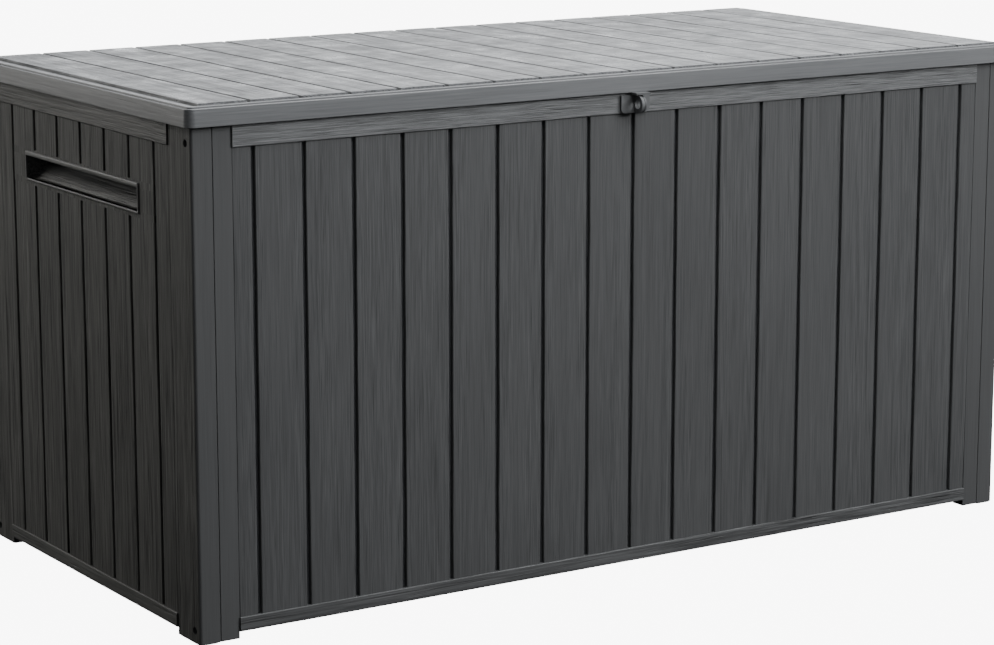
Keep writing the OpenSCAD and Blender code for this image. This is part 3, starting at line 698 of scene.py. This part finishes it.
def rounded_ring(lo, hi, inset, z, steps=8):
    """Points round the lid's plan, taken in by inset."""
    r = max(LID_CORNER_R - inset, 0.8 * MM)
    x, y0, y1 = hi.x - inset - r, lo.y + inset + r, hi.y - inset - r
    points = []
    for cx, cy, start in ((x, y1, 0), (-x, y1, 90), (-x, y0, 180), (x, y0, 270)):
        for k in range(steps + 1):
            a = math.radians(start + 90 * k / steps)
            points.append((cx + r * math.cos(a), cy + r * math.sin(a), z))
    return points


def lid():
    lo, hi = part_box("lid_shell")
    border_z = hi.z - FIELD_RISE
    part = Moulding()
    rings = [rounded_ring(lo, hi, inset, lo.z + z) for inset, z in lid_profile(border_z - lo.z)]
    for face in part.loops(rings):
        face.normal_update()
        face.material_index = 2 if abs(face.normal.x) > abs(face.normal.y) else 1
    half = hi.x - FIELD_SIDE
    edges = [-half] + centred(FRONT_GROOVES, PLANK_PITCH) + [half]
    for i, u in enumerate(between(edges, LID_GAP)):
        v = (lo.y + FIELD_FRONT + WOBBLE * wander(i * 0.7, 3), hi.y - FIELD_BACK)
        part.plank(u, v, hi.z - CROWN, border_z - FIELD_DROP - 0.6 * MM, flat, arris=MM)
    part.finish("lid_shell", [lid_grain, lid_front_edge, lid_end_edge], "lid", "lid_resin")


# ---------------------------------------------------------------- handles

def pocket(part, slot, depth):
    """The recess: a shelf, a back that slopes up and away, a ceiling, and ends that close in."""
    rise = (depth - POCKET_SHELF) * POCKET_SLOPE
    z0, z1 = slot["open0"], slot["open1"]
    shell = bmesh.new()
    rows = {}
    for grow in (0.0, POCKET_WALL):
        back = depth + grow
        section = [(0, z0 - grow), (POCKET_SHELF, z0 - grow), (back, z0 - grow + rise),
                   (back, z1 + grow), (0, z1 + grow)]
        for s in (-1, 1):
            rows[grow, s] = [shell.verts.new((s * (slot["half"] + grow - POCKET_DRAFT * d / back), d, z))
                             for d, z in section]
            shell.faces.new(rows[grow, s])
        a, b = rows[grow, -1], rows[grow, 1]
        for k in range(4):
            shell.faces.new((a[k], b[k], b[k + 1], a[k + 1]))
    near, far = 0.0, POCKET_WALL
    for k in (0, 4):
        shell.faces.new((rows[near, -1][k], rows[near, 1][k], rows[far, 1][k], rows[far, -1][k]))
    for s in (-1, 1):
        shell.faces.new((rows[near, s][0], rows[near, s][4], rows[far, s][4], rows[far, s][0]))
    bmesh.ops.bevel(shell, geom=shell.edges[:], offset=0.8 * MM, segments=2, profile=0.5, affect="EDGES")
    part.absorb(shell)


def handle(name, side):
    """A framed pocket; the brow above it is deeper than the sill below."""
    lo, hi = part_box(name)
    slot = handle_slot(name)
    part = Moulding(facing(side))
    half = slot["half"]
    out = half + HANDLE_FRAME
    z0, z1 = slot["open0"], slot["open1"]
    part.board((-out, -HANDLE_PROUD, z1), (out, HANDLE_SEAT, hi.z), 2.2 * MM, 4, 1)
    part.board((-out, -2.2 * MM, lo.z), (out, HANDLE_SEAT, z0), 1.4 * MM, 4, 1)
    for s in (-1, 1):
        x0, x1 = mirrored(s, half, out)
        part.board((x0, -2.6 * MM, z0 - 3 * MM), (x1, HANDLE_SEAT, z1 + 6 * MM), 1.2 * MM, 4, 1)
    pocket(part, slot, (hi.x - lo.x) - HANDLE_PROUD - POCKET_WALL)
    part.finish(name, [pocket_grain, handle_lip], "box", "handle_resin")


# ---------------------------------------------------------------- carried-over CAD pieces

FINISHES = {"inner_resin": (inner, 0.5 * MM), "latch_resin": (latch_resin, 0.8 * MM),
            "latch_steel": (hasp_coat, 0.4 * MM), "black_steel": (powder, 0.5 * MM),
            "strut_paint": (strut_paint, 0.4 * MM), "fitting_plastic": (fitting, 0.5 * MM),
            "zinc_steel": (zinc, 0.4 * MM), "galvanised_steel": (galvanised, 0.4 * MM),
            "chrome": (chrome, 0.2 * MM), "rubber": (rubber, 0.3 * MM)}


def dress(node, material, edge):
    """Gives a CAD node its material and eases its edges."""
    piece = frame["nodes"][node]
    piece.data.materials.clear()
    piece.data.materials.append(material)
    ease = piece.modifiers.new("eased_edges", "BEVEL")
    ease.width, ease.segments = edge, 2
    ease.limit_method, ease.angle_limit = "ANGLE", math.radians(40)
    ease.harden_normals = True


def middle_x(node):
    lo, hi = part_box(node)
    return (lo.x + hi.x) / 2


long_wall("front_panel", 0.0)
hinge_xs = [middle_x(f"{which}_body_hinge") for which in ("left", "middle", "right")]
long_wall("back_panel", math.pi, hinge_xs)
end_wall("left_side_panel", -1)
end_wall("right_side_panel", 1)
lid()
handle("left_handle_cup", -1)
handle("right_handle_cup", 1)
for entry in frame["record"]["subparts"]:
    if entry["material_slot"] in FINISHES:
        dress(entry["node"], *FINISHES[entry["material_slot"]])
